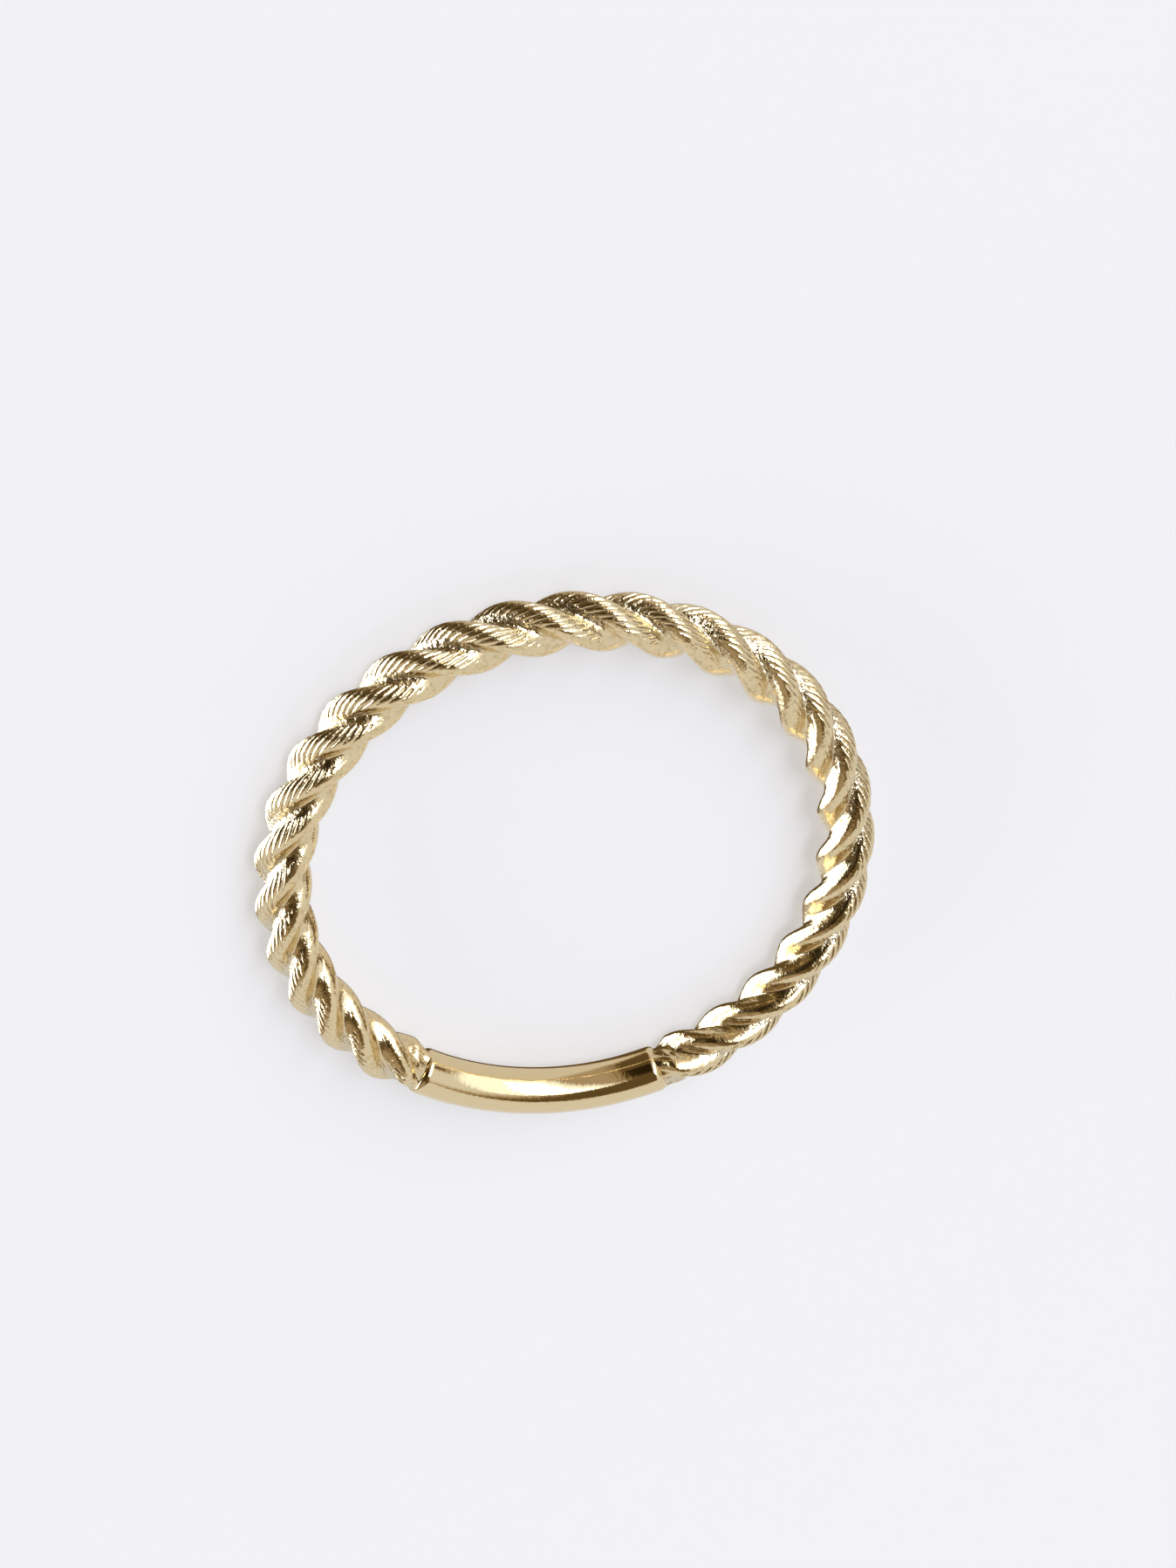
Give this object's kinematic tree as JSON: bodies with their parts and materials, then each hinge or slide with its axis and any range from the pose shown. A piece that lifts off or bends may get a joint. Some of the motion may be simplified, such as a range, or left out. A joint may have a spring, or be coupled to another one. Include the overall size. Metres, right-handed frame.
{
  "type": "rope twist ring",
  "caption": "Finger ring whose band is a rope of laid strands, closed by a plain smooth round bar at the back.",
  "frame": {"origin": "on the ring's axis, in the plane of the surface that the ring lies on", "axes": "+Z along the ring's axis, up from the surface; +Y towards the middle of the plain bar at the back; +X to the right with the rope's front nearest"},
  "size_m": [0.0202, 0.0201, 0.0018],
  "materials": {
    "yellow_gold": "polished cast 14 ct yellow gold"
  },
  "bodies": {
    "root": {"rope_ring": "yellow_gold"}
  },
  "joints": []
}
